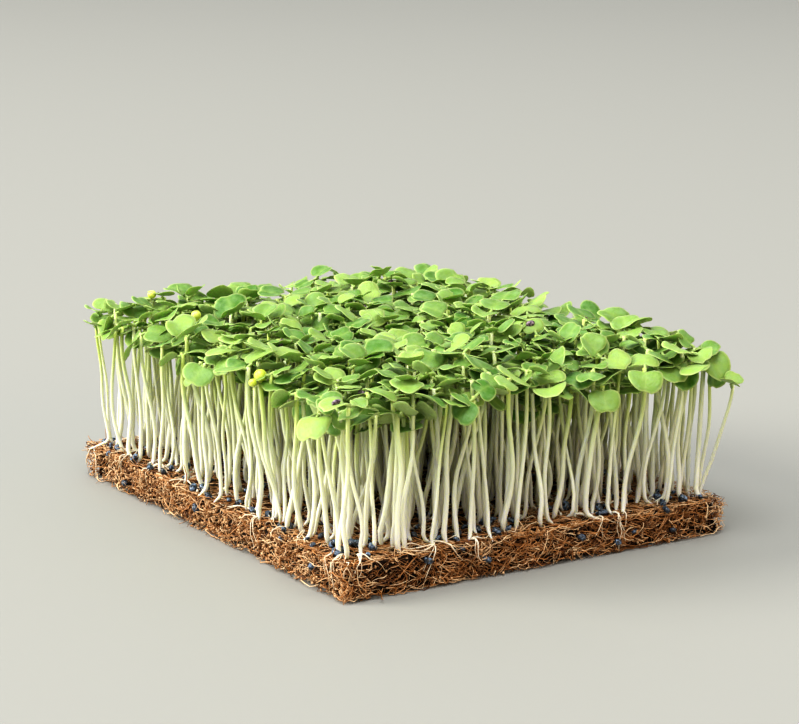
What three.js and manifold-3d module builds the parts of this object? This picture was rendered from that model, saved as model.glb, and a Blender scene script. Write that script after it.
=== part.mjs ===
// Basil microgreens growing on a coir mat, in millimetres, +Z up.
// The origin is the centre of the mat's underside, and +X runs along the mat's long side.
// The stand is sown as a jittered grid of seedlings. Each two by two block of them is one clump:
// its roots knit together on the mat and go down into a socket in the coir.
import * as THREE from "three";
import { mergeVertices } from "three/addons/utils/BufferGeometryUtils.js";
import Module from "manifold-3d";

const wasm = await Module();
wasm.setup();

// Mat
const MAT_LENGTH = 125;
const MAT_WIDTH = 104;
const MAT_THICKNESS = 8.5;
const MAT_CELL = 12.5;
const MAT_LAYERS = 3;
const EDGE_RAGGED = 0.9;
const LAYER_RAGGED = 1.3;
const TOP_RELIEF = 0.35;
const FIBRE_COUNT = 44;
const FIBRE_LENGTH = 7;
const FIBRE_ROOT = 4.8;
const FIBRE_RADIUS = 0.45;

// Stand
const FIRST_DRAW = 4127;
const COLUMNS = 12;
const ROWS = 10;
const STAND_EDGE = 2.6;
const EDGE_BAND = 9;
const BASE_JITTER = 0.2;
const PLANT_HEIGHT = 35.3;
const HEIGHT_SPREAD = 4;
const CANOPY_WAVE = 1.2;
const EDGE_DROP = 1.6;
const LEAN = 3.6;
const EDGE_LEAN = 2.4;
const SWAY = 3;
const MOST_TRIES = 1500;

// Seedling
const STEM_RADIUS = 0.72;
const STEM_SIDES = 3;
const FOOT_SPREAD = 0.5;
const ROOT_LIFT = 1.3;
const ROOT_START = 0.7;
const LEAF_THICKNESS = 0.7;
const LEAF_LENGTH = 7.4;
const LEAF_HALF_WIDTH = 4.5;
const LEAF_DROOP = 0.03;
const SMALLEST_LEAF = 0.66;

// Roots, their sockets in the mat, and the seed coats left lying on it
const BLOCK = 2;
const PLUG_RADIUS = 1.15;
const PLUG_DEPTH = 5;
const SOCKET_RADIUS = 1.8;
const SOCKET_DEPTH = 5.8;
const PLUG_SIDES = 5;
const SEED_COATS = 40;
const SEED_SIZE = new THREE.Vector3(1.5, 1.1, 0.95);
const COAT_CLEARANCE = 2.3;

const MAT_TOP = MAT_THICKNESS;
const CELL_X = (MAT_LENGTH - 2 * STAND_EDGE) / COLUMNS;
const CELL_Y = (MAT_WIDTH - 2 * STAND_EDGE) / ROWS;

// A small seeded generator, so that every run draws the same numbers.
function randomFrom(seed) {
  let state = seed | 0;
  return () => {
    state = (state + 0x6d2b79f5) | 0;
    let t = Math.imul(state ^ (state >>> 15), 1 | state);
    t = (t + Math.imul(t ^ (t >>> 7), 61 | t)) ^ t;
    return ((t ^ (t >>> 14)) >>> 0) / 4294967296;
  };
}

const between = (random, low, high) => low + (high - low) * random();

// A smooth uneven field, from about -1 to 1, for the felt's relief.
function ripple(x, y, z) {
  return (
    0.5 * Math.sin(0.37 * x + 1.3 * Math.sin(0.21 * y) + 0.9 * z) +
    0.3 * Math.sin(0.83 * y - 0.4 * x + 2.1) +
    0.2 * Math.sin(1.7 * x + 1.1 * y + 1.9 * z)
  );
}

// Solids

function solid(geometry) {
  const bare = geometry.clone();
  bare.deleteAttribute("normal");
  bare.deleteAttribute("uv");
  const merged = mergeVertices(bare, 1e-4);
  return new wasm.Manifold(
    new wasm.Mesh({
      numProp: 3,
      vertProperties: merged.attributes.position.array,
      triVerts: new Uint32Array(merged.index.array),
    }),
  );
}

function reshape(geometry, place) {
  const position = geometry.attributes.position;
  const point = new THREE.Vector3();
  for (let i = 0; i < position.count; i++) {
    place(point.fromBufferAttribute(position, i));
    position.setXYZ(i, point.x, point.y, point.z);
  }
  return geometry;
}

function meshOf(body, name, material) {
  const { vertProperties, triVerts } = body.getMesh();
  const geometry = new THREE.BufferGeometry()
    .setAttribute("position", new THREE.BufferAttribute(vertProperties, 3))
    .setIndex(new THREE.BufferAttribute(triVerts, 1));
  geometry.computeVertexNormals();
  const mesh = new THREE.Mesh(geometry, material);
  mesh.name = name;
  return mesh;
}

// A line through stations, one station for each equal step of the parameter.
class StationCurve extends THREE.Curve {
  constructor(stations) {
    super();
    this.stations = stations;
  }
  getPoint(t, target = new THREE.Vector3()) {
    const at = Math.min(Math.max(t, 0), 1) * (this.stations.length - 1);
    const i = Math.min(Math.floor(at), this.stations.length - 2);
    return target.lerpVectors(this.stations[i], this.stations[i + 1], at - i);
  }
  getPointAt(t, target) {
    return this.getPoint(t, target);
  }
  getTangentAt(t, target) {
    return this.getTangent(t, target);
  }
}

function polygon(sides, radius) {
  const corners = [];
  for (let i = 0; i < sides; i++) {
    const turn = (2 * Math.PI * i) / sides;
    corners.push(new THREE.Vector2(radius * Math.cos(turn), radius * Math.sin(turn)));
  }
  return new THREE.Shape(corners);
}

function tube(stations, sides, radius) {
  return new THREE.ExtrudeGeometry(polygon(sides, radius), {
    steps: stations.length - 1,
    extrudePath: new StationCurve(stations),
    bevelEnabled: false,
  });
}

// An upright prism from low to high at (x, y).
function post(x, y, low, high, radius) {
  return new THREE.CylinderGeometry(radius, radius, high - low, PLUG_SIDES)
    .rotateX(Math.PI / 2)
    .translate(x, y, (low + high) / 2);
}

// Seedlings

// The bent line of a stem from its foot to its head: it leaves the mat leaning and ends upright.
function stemPoint(seedling, t) {
  const { foot, head, sway } = seedling;
  const rise = head.z - foot.z;
  const low = new THREE.Vector3(foot.x + sway.x, foot.y + sway.y, foot.z + 0.35 * rise);
  const high = new THREE.Vector3(head.x, head.y, head.z - 0.4 * rise);
  return new THREE.CubicBezierCurve3(foot, low, high, head).getPoint(t);
}

// Half the width of a seed leaf at a share of its length: a fan with a broad foot and a round tip.
const LEAF_PROFILE = [
  [0, 0.26],
  [0.24, 0.84],
  [0.58, 1],
  [1, 0.52],
];

// A point of one seed leaf: out along it by a share of its length, and across by a share of its half width.
function leafPoint(seedling, leaf, share, across, target = new THREE.Vector3()) {
  const out = share * seedling.size * LEAF_LENGTH;
  const side = across * seedling.size * LEAF_HALF_WIDTH;
  const { head, along, crosswise } = seedling;
  const tilt = seedling.tilts[leaf];
  const way = leaf ? -1 : 1;
  const level = way * out * Math.cos(tilt);
  return target.set(
    head.x + along.x * level + crosswise.x * side,
    head.y + along.y * level + crosswise.y * side,
    head.z + out * Math.sin(tilt) - LEAF_DROOP * out * out + crosswise.z * side,
  );
}

// The flat patch that a seed leaf covers, with points spread over it, for keeping seedlings apart.
function leafPatch(seedling, leaf) {
  const start = leafPoint(seedling, leaf, 0, 0);
  const end = leafPoint(seedling, leaf, 1, 0);
  const along = end.clone().sub(start).normalize();
  const normal = new THREE.Vector3().crossVectors(seedling.crosswise, along).normalize();
  const points = [];
  for (const [share, width] of [[0.08, 0.3], [0.3, 0.86], [0.58, 1], [0.8, 0.82], [1, 0.52]]) {
    for (const across of [-1, -0.5, 0, 0.5, 1]) {
      points.push(leafPoint(seedling, leaf, share, across * width));
    }
  }
  return {
    centre: start.clone().lerp(end, 0.54),
    along,
    normal,
    crosswise: seedling.crosswise,
    halfLength: 0.54 * start.distanceTo(end),
    halfWidth: seedling.size * LEAF_HALF_WIDTH,
    points,
  };
}

const STEM_SAMPLES = 24;
const PATCH_GAP = 1.15;
const PATCH_MARGIN = 0.45;
const STEM_GAP = 1.5;
const STEM_MARGIN = 1.0;
const STEM_SPACING = 2.05;
const REACH = 24;

function inPatch(point, patch, margin, gap) {
  const from = point.clone().sub(patch.centre);
  if (Math.abs(from.dot(patch.normal)) > gap) return false;
  const u = from.dot(patch.crosswise) / (patch.halfWidth + margin);
  const v = from.dot(patch.along) / (patch.halfLength + margin);
  return u ** 4 + v ** 4 < 1;
}

const hitsPatch = (points, patches, margin, gap) =>
  patches.some((patch) => points.some((point) => inPatch(point, patch, margin, gap)));

function apart(a, b) {
  if (Math.hypot(a.head.x - b.head.x, a.head.y - b.head.y) > REACH) return true;
  const leavesOf = (s) => s.patches.flatMap((patch) => patch.points);
  return !(
    a.stem.some((p) => b.stem.some((q) => p.distanceTo(q) < STEM_SPACING)) ||
    hitsPatch(a.stem, b.patches, STEM_MARGIN, STEM_GAP) ||
    hitsPatch(b.stem, a.patches, STEM_MARGIN, STEM_GAP) ||
    hitsPatch(leavesOf(a), b.patches, PATCH_MARGIN, PATCH_GAP) ||
    hitsPatch(leavesOf(b), a.patches, PATCH_MARGIN, PATCH_GAP)
  );
}

// How near a place is to the stand's edge, 0 inside and 1 at it, with the way out.
function edgeAt(x, y) {
  const nearX = Math.max(0, Math.abs(x) - (MAT_LENGTH / 2 - STAND_EDGE - EDGE_BAND)) / EDGE_BAND;
  const nearY = Math.max(0, Math.abs(y) - (MAT_WIDTH / 2 - STAND_EDGE - EDGE_BAND)) / EDGE_BAND;
  return { near: Math.min(1, Math.max(nearX, nearY)), x: Math.sign(x) * nearX, y: Math.sign(y) * nearY };
}

// The canopy is uneven, and sinks a little at its edge.
function canopyAt(x, y) {
  return (
    PLANT_HEIGHT + CANOPY_WAVE * Math.sin(0.09 * x + 0.6) * Math.sin(0.11 * y - 0.4) -
    EDGE_DROP * edgeAt(x, y).near ** 2
  );
}

// The middle of a block of the grid, where its seedlings' roots meet.
function blockCentre([i, j]) {
  return new THREE.Vector3(
    (BLOCK * (i + 0.5) - COLUMNS / 2) * CELL_X,
    (BLOCK * (j + 0.5) - ROWS / 2) * CELL_Y,
    MAT_TOP + ROOT_LIFT,
  );
}

// One draw of a seedling for its place in the grid. Later tries spread wider and give a smaller leaf, as in a crowded stand.
function drawSeedling(place, random, block, effort) {
  const edge = edgeAt(place.x, place.y);
  const leanTurn = between(random, 0, 2 * Math.PI);
  const lean = LEAN * random();
  const head = new THREE.Vector3(
    place.x + lean * Math.cos(leanTurn) + EDGE_LEAN * edge.x * random(),
    place.y + lean * Math.sin(leanTurn) + EDGE_LEAN * edge.y * random(),
    0,
  );
  head.z = MAT_TOP + canopyAt(place.x, place.y) + HEIGHT_SPREAD * (1 + effort) * between(random, -1, 0.6);
  const sway = new THREE.Vector3(between(random, -SWAY, SWAY), between(random, -SWAY, SWAY), 0);
  const turn = between(random, 0, 2 * Math.PI);
  const roll = between(random, -0.3, 0.3);
  const tilts = [0, 1].map(() => between(random, -0.35 - 0.3 * effort, 0.5 + 0.6 * effort));
  const seedling = {
    block,
    foot: blockCentre(block).lerp(place, FOOT_SPREAD),
    head,
    sway,
    tilts,
    size: between(random, 0.9, 1.06) * (1 - (1 - SMALLEST_LEAF) * effort),
    along: new THREE.Vector3(Math.cos(turn), Math.sin(turn), 0),
    crosswise: new THREE.Vector3(
      -Math.sin(turn) * Math.cos(roll),
      Math.cos(turn) * Math.cos(roll),
      Math.sin(roll),
    ),
  };
  seedling.stem = Array.from({ length: STEM_SAMPLES }, (_, i) => stemPoint(seedling, i / (STEM_SAMPLES - 1)));
  seedling.patches = [leafPatch(seedling, 0), leafPatch(seedling, 1)];
  return seedling;
}

// Seedlings of one block may touch, for they grow together, but only when no clear place is found.
function sowStand() {
  const stand = [];
  for (let row = 0; row < ROWS; row++) {
    for (let column = 0; column < COLUMNS; column++) {
      const random = randomFrom(FIRST_DRAW + stand.length);
      const block = [Math.floor(column / BLOCK), Math.floor(row / BLOCK)];
      const place = new THREE.Vector3(
        (column + 0.5 - COLUMNS / 2 + between(random, -BASE_JITTER, BASE_JITTER)) * CELL_X,
        (row + 0.5 - ROWS / 2 + between(random, -BASE_JITTER, BASE_JITTER)) * CELL_Y,
        MAT_TOP + ROOT_LIFT,
      );
      let seedling = null;
      for (let i = 0; i < MOST_TRIES && !seedling; i++) {
        const drawn = drawSeedling(place, random, block, i / MOST_TRIES);
        const tangled = (other) => 2 * i > MOST_TRIES && `${other.block}` === `${block}`;
        if (stand.every((other) => tangled(other) || apart(drawn, other))) seedling = drawn;
      }
      if (!seedling) throw new Error(`no room for the seedling in row ${row}, column ${column}`);
      stand.push(seedling);
    }
  }
  return stand;
}

// Both seed leaves and the neck between them, bent from one box: its length follows the two leaves.
function leafPair(seedling) {
  const shares = LEAF_PROFILE.map(([share]) => share);
  const stations = [...shares.slice(1).reverse().map((s) => -s), 0, ...shares.slice(1)];
  const steps = stations.length - 1;
  const widthAt = new Map(LEAF_PROFILE);
  const point = new THREE.Vector3();
  return reshape(new THREE.BoxGeometry(2, steps, 1, 1, steps, 1), (p) => {
    const share = stations[Math.round(p.y + steps / 2)];
    const leaf = share < 0 ? 1 : 0;
    leafPoint(seedling, leaf, Math.abs(share), -p.x * widthAt.get(Math.abs(share)), point);
    p.set(point.x, point.y, point.z + p.z * LEAF_THICKNESS);
  });
}

// One line from the roots to the head: it runs out over the mat to the foot, bends there and rises.
function stemTube(seedling, centre) {
  const root = centre.clone().lerp(seedling.foot, ROOT_START / centre.distanceTo(seedling.foot));
  const stations = [root, ...[0, 0.3, 0.66, 1].map((t) => stemPoint(seedling, t))];
  return tube(stations, STEM_SIDES, STEM_RADIUS);
}

// Sub-parts

const leafGreen = new THREE.MeshStandardMaterial({ color: "#9dbf63", roughness: 0.55, metalness: 0 });
const coirBrown = new THREE.MeshStandardMaterial({ color: "#8a5730", roughness: 0.95, metalness: 0 });

function clump(seedlings, centre) {
  let body = solid(post(centre.x, centre.y, MAT_TOP - PLUG_DEPTH, centre.z + STEM_RADIUS, PLUG_RADIUS));
  for (const seedling of seedlings) {
    body = body.add(solid(stemTube(seedling, centre))).add(solid(leafPair(seedling)));
  }
  return body;
}

// The felt slab: flat below, ragged at its sides where its layers show, and uneven on top.
function feltSlab() {
  const half = new THREE.Vector3(MAT_LENGTH / 2, MAT_WIDTH / 2, MAT_THICKNESS / 2);
  const slab = new THREE.BoxGeometry(
    MAT_LENGTH,
    MAT_WIDTH,
    MAT_THICKNESS,
    Math.round(MAT_LENGTH / MAT_CELL),
    Math.round(MAT_WIDTH / MAT_CELL),
    MAT_LAYERS,
  );
  return reshape(slab, (p) => {
    const { x, y, z } = p;
    const inner = Math.abs(z) < half.z - 0.01 ? 1 : 0;
    const drawn =
      EDGE_RAGGED * (0.8 + 0.8 * ripple(x, y, z)) + LAYER_RAGGED * inner * (1 + ripple(1.3 * x, 1.3 * y, 2.2 * z));
    if (Math.abs(x) > half.x - 0.01) p.x -= Math.sign(x) * drawn;
    if (Math.abs(y) > half.y - 0.01) p.y -= Math.sign(y) * drawn;
    if (z > half.z - 0.01) p.z += TOP_RELIEF * ripple(x, y, 3);
    p.z += half.z;
  });
}

// Stray fibres: thin spikes that stand out of the slab's four sides.
function strayFibre(random) {
  const along = random() < MAT_LENGTH / (MAT_LENGTH + MAT_WIDTH);
  const side = random() < 0.5 ? -1 : 1;
  const run = between(random, -0.46, 0.46);
  const out = new THREE.Vector3(
    along ? between(random, -0.5, 0.5) : side,
    along ? side : between(random, -0.5, 0.5),
    between(random, -0.15, 0.3),
  ).normalize();
  const from = new THREE.Vector3(
    along ? run * MAT_LENGTH : side * (MAT_LENGTH / 2 - FIBRE_ROOT),
    along ? side * (MAT_WIDTH / 2 - FIBRE_ROOT) : run * MAT_WIDTH,
    between(random, 1.6, MAT_TOP - 1.4),
  );
  return new THREE.ConeGeometry(FIBRE_RADIUS, FIBRE_LENGTH, 3)
    .translate(0, FIBRE_LENGTH / 2, 0)
    .applyQuaternion(new THREE.Quaternion().setFromUnitVectors(new THREE.Vector3(0, 1, 0), out))
    .translate(from.x, from.y, from.z);
}

// Places for the seed coats: anywhere on the mat that is clear of the roots and the stems' feet.
function coatPlaces(stand, centres, random) {
  const legs = stand.map((s) => new THREE.Line3(centres.get(s.block.join()), s.foot));
  const near = new THREE.Vector3();
  const places = [];
  while (places.length < SEED_COATS) {
    const place = new THREE.Vector3(
      between(random, -0.48, 0.48) * MAT_LENGTH,
      between(random, -0.475, 0.475) * MAT_WIDTH,
      MAT_TOP + ROOT_LIFT,
    );
    const clearOfLeg = (leg) => leg.closestPointToPoint(place, true, near).distanceTo(place) > COAT_CLEARANCE;
    const clearOfSocket = (centre) => centre.distanceTo(place) > SOCKET_RADIUS + COAT_CLEARANCE;
    if (legs.every(clearOfLeg) && [...centres.values()].every(clearOfSocket)) places.push(place);
  }
  return places;
}

function seedCoat(place, random) {
  return new THREE.OctahedronGeometry(1)
    .scale(SEED_SIZE.x, SEED_SIZE.y, SEED_SIZE.z)
    .rotateZ(between(random, 0, Math.PI))
    .translate(place.x, place.y, MAT_TOP + TOP_RELIEF * ripple(place.x, place.y, 3));
}

function coirMat(stand, centres) {
  const random = randomFrom(FIRST_DRAW - 1);
  let body = solid(feltSlab());
  for (let i = 0; i < FIBRE_COUNT; i++) body = body.add(solid(strayFibre(random)));
  for (const place of coatPlaces(stand, centres, random)) body = body.add(solid(seedCoat(place, random)));
  for (const centre of centres.values()) {
    body = body.subtract(solid(post(centre.x, centre.y, MAT_TOP - SOCKET_DEPTH, MAT_TOP + ROOT_LIFT, SOCKET_RADIUS)));
  }
  return body;
}

const stand = sowStand();
const blocks = Map.groupBy(stand, (seedling) => seedling.block.join());
const centres = new Map([...blocks].map(([key, seedlings]) => [key, blockCentre(seedlings[0].block)]));

const microgreens = new THREE.Group();
microgreens.add(meshOf(coirMat(stand, centres), "coir_mat", coirBrown));
for (const [key, seedlings] of blocks) {
  const [column, row] = seedlings[0].block;
  const name = `basil_clump_${row + 1}_${column + 1}`;
  microgreens.add(meshOf(clump(seedlings, centres.get(key)), name, leafGreen));
}

export default microgreens;
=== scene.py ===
from math import cos, pi, radians, sin

import bmesh
import bpy
import numpy as np
from mathutils import Euler, Matrix, Vector


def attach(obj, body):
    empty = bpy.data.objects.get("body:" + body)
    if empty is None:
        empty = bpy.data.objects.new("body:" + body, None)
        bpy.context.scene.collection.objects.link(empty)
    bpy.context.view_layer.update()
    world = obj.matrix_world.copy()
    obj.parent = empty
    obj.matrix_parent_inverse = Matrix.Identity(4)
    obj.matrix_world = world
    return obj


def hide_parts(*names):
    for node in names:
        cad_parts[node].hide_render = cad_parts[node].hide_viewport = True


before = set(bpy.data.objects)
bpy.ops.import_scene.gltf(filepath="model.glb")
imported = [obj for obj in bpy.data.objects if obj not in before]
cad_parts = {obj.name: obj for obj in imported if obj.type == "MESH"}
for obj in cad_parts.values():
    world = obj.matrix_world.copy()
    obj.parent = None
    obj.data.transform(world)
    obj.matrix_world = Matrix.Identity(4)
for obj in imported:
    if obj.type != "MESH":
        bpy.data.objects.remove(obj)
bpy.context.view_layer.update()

# Basil microgreens on a coir mat. Lengths here are in millimetres and become metres in the meshes.
MM = 0.001

# The camera, found from the perspective of the mat's edges in the photo
IMAGE_WIDTH = 799
FOCAL_PIXELS = 2416
SENSOR_WIDTH = 36
CAMERA_PLACE = (483.5, -309.8, 160.4)
CAMERA_TURN = 57.2
CAMERA_PITCH = 12.26
CAMERA_ROLL = 0.39

# Mat
MAT_LENGTH = 125
MAT_WIDTH = 104
MAT_THICKNESS = 8.5
CORE_INSET = 2.3
TOP_RELIEF = 0.45
SIDE_FIBRES = 6200
TOP_FIBRES = 4400
STRAY_FIBRES = 420
BOTTOM_FIBRES = 900
FIBRE_RADIUS = (0.07, 0.18)
FIBRE_STATIONS = 5
FIBRE_SIDES = 3
FIBRE_LIFT = 0.2
FIBRE_PROUD = 0.9
PRESSED_LIFT = 0.24
TUFTS = 26
RIM_POINTS = 240
CRUMBS = 2600
CRUMB_RADIUS = (0.16, 0.46)
SEEDS = 250
SIDE_SEEDS = 26
SEED_SIZE = (1.3, 0.95, 0.8)

# Fine roots
ROOT_RADIUS = (0.11, 0.19)
ROOT_STATIONS = 10
ROOT_SIDES = 4

# The seeds of the random draws of the mat's pieces
SIDE_DRAW = 21
TOP_DRAW = 22
STRAY_DRAW = 23
SEED_DRAW = 24
ROOT_DRAW = 25
BOTTOM_DRAW = 26
CRUMB_DRAW = 27

# Stand: these are the sizes and the rule by which the clumps were sown
FIRST_DRAW = 4127
COLUMNS = 12
ROWS = 10
BLOCK = 2
STAND_EDGE = 2.6
EDGE_BAND = 9
BASE_JITTER = 0.2
PLANT_HEIGHT = 35.3
HEIGHT_SPREAD = 4
CANOPY_WAVE = 1.2
EDGE_DROP = 1.6
LEAN = 3.6
EDGE_LEAN = 2.4
SWAY = 3
MOST_TRIES = 1500
FOOT_SPREAD = 0.5
ROOT_LIFT = 1.3
LEAF_REACH = 7.4
LEAF_HALF_WIDTH = 4.5
LEAF_DROOP = 0.03
SMALLEST_LEAF = 0.66
STEM_SAMPLES = 24
REACH = 24

# The room that seedlings leave each other: between stems, and beside and over a leaf
CLUMP_ROOM = {"stems": 2.05, "stem_and_leaf": (1.0, 1.5), "leaves": (0.45, 1.15)}
FINE_ROOM = {"stems": 1.3, "stem_and_leaf": (-0.7, 0.7), "leaves": (-0.8, 0.5)}

# The rest of the stand, sown between the clumps
MORE_SEEDLINGS = 590
MORE_SPOTS = 12
MORE_TRIES = 12
MORE_REACH = 15
FOOT_INSET = 2.2
FOOT_LIFT = 0.3
LOW_SHARE = 0.25
LOW_DEPTH = 8

# Seedlings that the photo shows apart from the rest: foot, head, size, and whether the leaves are folded
SINGLED_OUT = [
    ((58, 49), (65.5, 51.5, 36.5), 0.6, False),
    ((-59, -47.5), (-60, -49.5, 42.5), 0.75, False),
    ((-57.5, -49), (-57.5, -51.5, 39.5), 0.75, False),
    ((25, -47), (24.9, -51.2, 42), 0.95, True),
    ((28, -48), (26.5, -54, 41), 0.6, True),
    ((-28, -38), (-27.9, -39.2, 45.5), 0.8, True),
    ((-55, -37), (-55.3, -37.2, 46), 0.7, True),
    ((45, 27), (44.9, 28, 45), 0.85, True),
]

# Seed coats lie on the leaves nearest these places
HUSK_PLACES = [(7, -35), (48, -39), (60, -44), (-20, 10), (30, 20), (-40, -5), (10, 45), (-50, 35)]

# Seedling, at its true size
STEM_RADIUS = 0.63
STEM_TIP_RADIUS = 0.49
STEM_SIDES = 7
STEM_STATIONS = 14
HOOK = 1.1
BLADE_LENGTH = 5.6
BLADE_HALF_WIDTH = 3.7
PETIOLE = 0.9
PETIOLE_RADII = (0.44, 0.28)
PETIOLE_STATIONS = 4
PETIOLE_SIDES = 5
LEAF_THICKNESS = 0.2
HUSK_SIZE = (1.15, 0.8, 0.6)
FOLDED_SIZE = (1.75, 1.5, 1.6)

# What stands higher than this bows down by this share
HIGH_TIPS = 48.6
TIP_BOW = 0.5

MAT_TOP = MAT_THICKNESS
CELL_X = (MAT_LENGTH - 2 * STAND_EDGE) / COLUMNS
CELL_Y = (MAT_WIDTH - 2 * STAND_EDGE) / ROWS
HALF = np.array([MAT_LENGTH / 2, MAT_WIDTH / 2])


# Vectors and fields

def unit(vectors):
    """The vectors at length one, along the last axis."""
    return vectors / np.linalg.norm(vectors, axis=-1, keepdims=True)


def ripple(points, wavelength, seed, waves=14):
    """A smooth uneven field over the points, from about -1 to 1, whose bumps are a wavelength apart."""
    draw = np.random.default_rng(seed)
    ways = unit(draw.normal(size=(waves, points.shape[-1]))) * 2 * pi / wavelength
    ways *= draw.uniform(0.6, 1.7, (waves, 1))
    phases = draw.uniform(0, 2 * pi, waves)
    return np.sin(points @ ways.T + phases).sum(-1) / (0.9 * waves**0.5 * 1.4)


# Materials

# A mix of colours, and its sockets: its share, its two colours and its result
RGBA = {"data_type": "RGBA"}
SHARE, LOW, HIGH, MIXED = 0, 6, 7, 2


def linear(hex_colour):
    """A colour of a shader, from an sRGB hex value."""
    parts = [int(hex_colour[i:i + 2], 16) / 255 for i in (1, 3, 5)]
    return (*[c / 12.92 if c <= 0.04045 else ((c + 0.055) / 1.055) ** 2.4 for c in parts], 1)


def fill(tree, node, inputs):
    """Sets a node's inputs: each takes a number, a hex colour or the output of another node."""
    for name, value in inputs.items():
        if isinstance(value, bpy.types.NodeSocket):
            tree.links.new(value, node.inputs[name])
        else:
            node.inputs[name].default_value = linear(value) if isinstance(value, str) else value


def add(tree, kind, output, inputs, **settings):
    """Adds a shader node of this kind with its settings and links, and gives one of its outputs."""
    node = tree.nodes.new("ShaderNode" + kind)
    for name, value in settings.items():
        setattr(node, name, value)
    fill(tree, node, inputs)
    return node.outputs[output]


def new_material(name):
    """A material, its tree of nodes, its surface shader, and the place on the piece as an output."""
    material = bpy.data.materials.new(name)
    material.use_nodes = True
    tree = material.node_tree
    place = add(tree, "TexCoord", "Object", {})
    return material, tree, tree.nodes["Principled BSDF"], place


def seed_leaf_tissue():
    """Living seed leaf: light passes into it, a waxy grey that is partly painted reflection clouds it, its
    rim carries a painted highlight, and its underside is dull.
    """
    material, tree, shader, place = new_material("basil_seed_leaf_tissue")
    tone, rim, vein, under = (
        add(tree, "Attribute", "Fac", {}, attribute_name=name)
        for name in ("tone", "rim", "vein", "under")
    )
    # Clouds of waxy grey and painted reflection some 2 mm across, and pores drawn at 0.35 mm, coarser than
    # real ones, to show
    clouds = add(tree, "TexNoise", "Fac", {"Vector": place, "Scale": 1 / (2.2 * MM), "Detail": 3})
    pores = add(tree, "TexNoise", "Fac", {"Vector": place, "Scale": 1 / (0.35 * MM), "Detail": 2})
    relief = add(tree, "TexNoise", "Fac", {"Vector": place, "Scale": 1 / (0.8 * MM), "Detail": 3})
    # Grey clouds that stand for waxy bloom and, in part, a painted reflection of the light on the leaf tops
    grey_wax_and_reflection = add(tree, "MapRange", "Result",
                {"Value": clouds, "From Min": 0.38, "From Max": 0.72, "To Max": 0.55})
    # The rim's last ring is painted pale as a highlight, a thin bright line where the edge catches the
    # light
    rim_highlight = add(tree, "MapRange", "Result",
                   {"Value": rim, "From Min": 0.86, "From Max": 1.0, "To Max": 0.6})
    pale_vein = add(tree, "MapRange", "Result", {"Value": vein, "To Max": 0.3})
    green = add(tree, "Mix", MIXED, {SHARE: tone, LOW: "#4a7520", HIGH: "#95ae58"}, **RGBA)
    waxy = add(tree, "Mix", MIXED, {SHARE: grey_wax_and_reflection, LOW: green, HIGH: "#86a56c"}, **RGBA)
    veined = add(tree, "Mix", MIXED, {SHARE: pale_vein, LOW: waxy, HIGH: "#a3ba66"}, **RGBA)
    with_rim_highlight = add(tree, "Mix", MIXED, {SHARE: rim_highlight, LOW: veined, HIGH: "#c2d088"}, **RGBA)
    dull = add(tree, "Mix", MIXED, {SHARE: pores, LOW: "#8fa65c", HIGH: "#b7c68c"}, **RGBA)
    shown = add(tree, "Mix", MIXED, {SHARE: under, LOW: with_rim_highlight, HIGH: dull}, **RGBA)
    uneven = add(tree, "Bump", "Normal", {"Height": relief, "Distance": 0.2 * MM, "Strength": 0.9})
    fill(tree, shader, {
        "Base Color": shown, "Normal": uneven, "Roughness": 0.5, "IOR": 1.4, "Sheen Weight": 0.04,
        "Sheen Roughness": 0.5, "Subsurface Weight": 0.2, "Subsurface Radius": (0.6, 1.0, 0.2),
        "Subsurface Scale": 0.7 * MM,
    })
    return material


def stem_tissue():
    """Watery stem, grown in shade: nearly white at the foot, yellow-green at the head, finely streaked."""
    material, tree, shader, place = new_material("basil_stem_tissue")
    rise = add(tree, "Attribute", "Fac", {}, attribute_name="rise")
    tone = add(tree, "Attribute", "Fac", {}, attribute_name="tone")
    drawn_out = add(tree, "Mapping", "Vector", {"Vector": place, "Scale": (1, 1, 0.12)})
    streaks = add(tree, "TexNoise", "Fac", {"Vector": drawn_out, "Scale": 1 / (0.6 * MM), "Detail": 2})
    streaked = add(tree, "MapRange", "Result",
                   {"Value": streaks, "From Min": 0.4, "From Max": 0.75, "To Max": 0.35})
    lower = add(tree, "MapRange", "Result", {"Value": rise, "From Min": 0.05, "From Max": 0.55})
    upper = add(tree, "MapRange", "Result", {"Value": rise, "From Min": 0.5, "From Max": 1.0})
    shaded = add(tree, "Mix", MIXED, {SHARE: lower, LOW: "#e5e3d8", HIGH: "#dbdfc4"}, **RGBA)
    whole = add(tree, "Mix", MIXED, {SHARE: upper, LOW: shaded, HIGH: "#bacb6e"}, **RGBA)
    lined = add(tree, "Mix", MIXED, {SHARE: streaked, LOW: whole, HIGH: "#c6cf92"}, **RGBA)
    shown = add(tree, "Mix", MIXED, {SHARE: tone, LOW: lined, HIGH: whole}, **RGBA)
    fill(tree, shader, {
        "Base Color": shown, "Roughness": 0.38, "IOR": 1.4, "Subsurface Weight": 0.6,
        "Subsurface Radius": (1.1, 1.1, 0.45), "Subsurface Scale": 1.1 * MM,
    })
    return material


def root_tissue():
    """Fine root: white and moist where it leaves the stem, dry and stained tan farther out."""
    material, tree, shader, place = new_material("basil_root_tissue")
    tone = add(tree, "Attribute", "Fac", {}, attribute_name="tone")
    spots = add(tree, "TexNoise", "Fac", {"Vector": place, "Scale": 1 / (2.0 * MM), "Detail": 3})
    stain = add(tree, "MapRange", "Result",
                {"Value": spots, "From Min": 0.4, "From Max": 0.75, "To Max": 0.6})
    fresh = add(tree, "Mix", MIXED, {SHARE: tone, LOW: "#f5efdd", HIGH: "#dcc096"}, **RGBA)
    shown = add(tree, "Mix", MIXED, {SHARE: stain, LOW: fresh, HIGH: "#cfa06c"}, **RGBA)
    fill(tree, shader, {
        "Base Color": shown, "Roughness": 0.5, "Subsurface Weight": 0.15,
        "Subsurface Radius": (1.0, 0.9, 0.7), "Subsurface Scale": 0.3 * MM,
    })
    return material


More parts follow.
